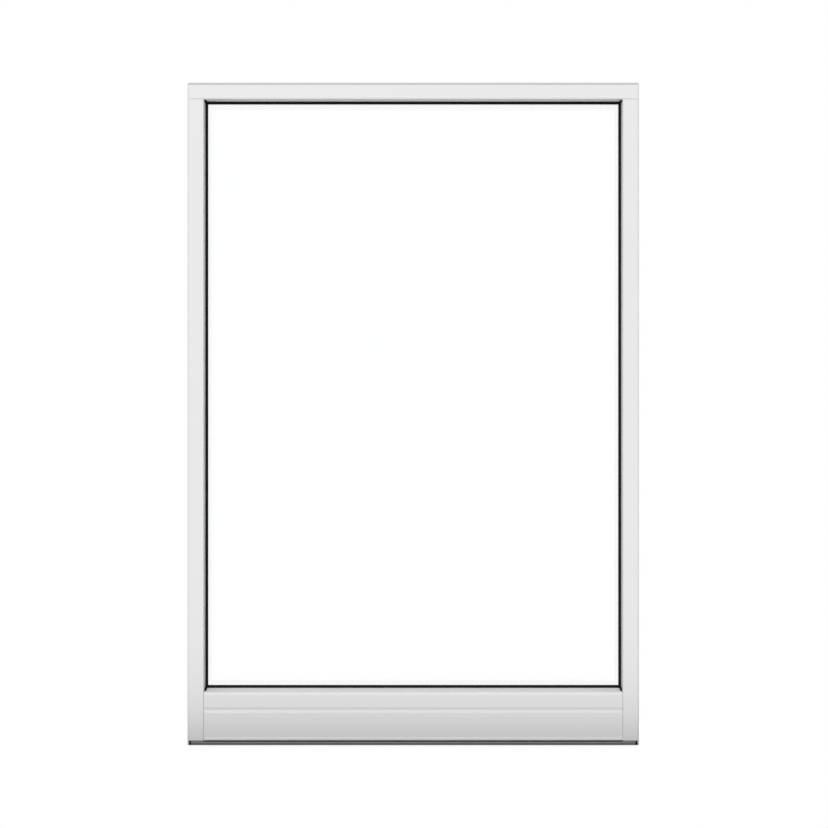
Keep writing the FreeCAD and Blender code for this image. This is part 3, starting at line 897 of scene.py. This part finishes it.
class PICTURE_WINDOW_OT_coat_frame(bpy.types.Operator):
    """Coat the aluminium profiles, the head's end caps and the sub-sill's end plates"""

    bl_idname = "picture_window.coat_frame"
    bl_label = "Coat Frame"

    def execute(self, context):
        finish = context.scene.picture_window_finish
        moulded_roughness = finish.coat_roughness + MOULDED_DULLNESS
        finish_nodes(COATED_PROFILES, coating_material("white_powder_coat", finish, finish.coat_roughness))
        finish_nodes(WHITE_ENDS, coating_material("white_moulded_cap", finish, moulded_roughness))
        return {"FINISHED"}


class PICTURE_WINDOW_OT_finish_seals(bpy.types.Operator):
    """Give the gaskets, the corner seals, the sub-sill's dams and the head's weather strip their rubber"""

    bl_idname = "picture_window.finish_seals"
    bl_label = "Finish Seals"

    def execute(self, context):
        finish = context.scene.picture_window_finish
        black = finish.rubber_colour
        finish_runs("seal_rubber", black, SEAL_RUBBER, LEVEL_GASKETS, UPRIGHT_GASKETS)
        finish_nodes(SILL_DAMS + CORNER_SEALS, drawn_material("dam_rubber_cut", black, NO_RUN, CUT_RUBBER))
        strip = drawn_material("weather_strip_rubber", finish.strip_colour, LEVEL_RUN, STRIP_RUBBER)
        finish_nodes(WEATHER_STRIP, strip)
        return {"FINISHED"}


class PICTURE_WINDOW_OT_finish_breaks(bpy.types.Operator):
    """Give the thermal breaks their fibre-filled plastic"""

    bl_idname = "picture_window.finish_breaks"
    bl_label = "Finish Thermal Breaks"

    def execute(self, context):
        finish = context.scene.picture_window_finish
        finish_runs("break_plastic", finish.break_colour, BREAK_PLASTIC, LEVEL_BREAKS, UPRIGHT_BREAKS)
        return {"FINISHED"}


class PICTURE_WINDOW_OT_finish_glazing(bpy.types.Operator):
    """Give the panes, their spacer bars and their setting blocks a finish"""

    bl_idname = "picture_window.finish_glazing"
    bl_label = "Finish Glazing"

    def execute(self, context):
        finish = context.scene.picture_window_finish
        finish_runs("spacer_plastic", finish.spacer_colour, SPACER_PLASTIC, LEVEL_SPACERS, UPRIGHT_SPACERS)
        block = drawn_material("block_plastic", finish.block_colour, NO_RUN, BLOCK_PLASTIC)
        finish_nodes(SETTING_BLOCKS, block)
        finish_nodes(PANES, glass_material(finish))
        return {"FINISHED"}


class PICTURE_WINDOW_OT_finish_sub_sill(bpy.types.Operator):
    """Give the sub-sill its dark drawn plastic"""

    bl_idname = "picture_window.finish_sub_sill"
    bl_label = "Finish Sub-sill"

    def execute(self, context):
        finish = context.scene.picture_window_finish
        plastic = drawn_material("sub_sill_plastic", finish.sub_sill_colour, LEVEL_RUN, SILL_PLASTIC)
        finish_nodes(SUB_SILL, plastic)
        return {"FINISHED"}


class PICTURE_WINDOW_OT_add_corner_screws(bpy.types.Operator):
    """Model one corner screw and set a copy of it in each countersink"""

    bl_idname = "picture_window.add_corner_screws"
    bl_label = "Add Corner Screws"

    def execute(self, context):
        screws = context.scene.picture_window_screws
        finish = context.scene.picture_window_finish
        steel = drawn_material("screw_steel", finish.steel_colour, NO_RUN, SCREW_STEEL)
        # The recess's dark colour is scale and painted shade inside the recess
        scale = drawn_material("screw_recess_scale_and_shade", finish.recess_scale_and_shade_colour, NO_RUN, SCREW_SCALE_AND_SHADE)
        pattern = model_screw(screws, (steel, scale))
        for name, place, outward in screw_spots(screws):
            make_active(pattern)
            bpy.ops.object.duplicate(linked=False)
            screw = bpy.context.object
            screw.name = name
            screw.location = place - outward * screws.head_sink
            screw.rotation_euler = outward.to_track_quat("Z", "Y").to_euler()
            bpy.ops.object.transform_apply(location=True, rotation=True, scale=True)
            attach(screw, "root")
        bpy.data.objects.remove(pattern)
        return {"FINISHED"}


class PICTURE_WINDOW_OT_set_stage(bpy.types.Operator):
    """Lay the floor, set the lights and place the camera"""

    bl_idname = "picture_window.set_stage"
    bl_label = "Set Stage"

    def execute(self, context):
        stage = context.scene.picture_window_stage
        lay_floor(stage)
        light_world(stage)
        add_key_light(stage)
        set_camera(stage)
        context.scene.view_settings.view_transform = "Standard"
        return {"FINISHED"}


class PICTURE_WINDOW_PT_dressing(bpy.types.Panel):
    """Lists the steps that dress the window"""

    bl_idname = "PICTURE_WINDOW_PT_dressing"
    bl_label = "Picture Window"
    bl_space_type = "VIEW_3D"
    bl_region_type = "UI"
    bl_category = "Window"

    def draw(self, context):
        for step in STEPS:
            self.layout.operator(step.bl_idname)


STEPS = (
    PICTURE_WINDOW_OT_coat_frame,
    PICTURE_WINDOW_OT_finish_seals,
    PICTURE_WINDOW_OT_finish_breaks,
    PICTURE_WINDOW_OT_finish_glazing,
    PICTURE_WINDOW_OT_finish_sub_sill,
    PICTURE_WINDOW_OT_add_corner_screws,
    PICTURE_WINDOW_OT_set_stage,
)
SETTINGS = {
    "picture_window_finish": PictureWindowFinish,
    "picture_window_screws": PictureWindowScrews,
    "picture_window_stage": PictureWindowStage,
}


def register():
    """Makes the settings, the steps and the panel known to Blender."""
    for name, group in SETTINGS.items():
        bpy.utils.register_class(group)
        setattr(bpy.types.Scene, name, bpy.props.PointerProperty(type=group))
    for step in STEPS:
        bpy.utils.register_class(step)
    bpy.utils.register_class(PICTURE_WINDOW_PT_dressing)


def unregister():
    """Takes the panel, the steps and the settings away again."""
    bpy.utils.unregister_class(PICTURE_WINDOW_PT_dressing)
    for step in reversed(STEPS):
        bpy.utils.unregister_class(step)
    for name, group in SETTINGS.items():
        delattr(bpy.types.Scene, name)
        bpy.utils.unregister_class(group)


def main():
    """Dresses the window."""
    register()
    bpy.ops.picture_window.coat_frame()
    bpy.ops.picture_window.finish_seals()
    bpy.ops.picture_window.finish_breaks()
    bpy.ops.picture_window.finish_glazing()
    bpy.ops.picture_window.finish_sub_sill()
    bpy.ops.picture_window.add_corner_screws()
    bpy.ops.picture_window.set_stage()


if __name__ == "__main__":
    main()
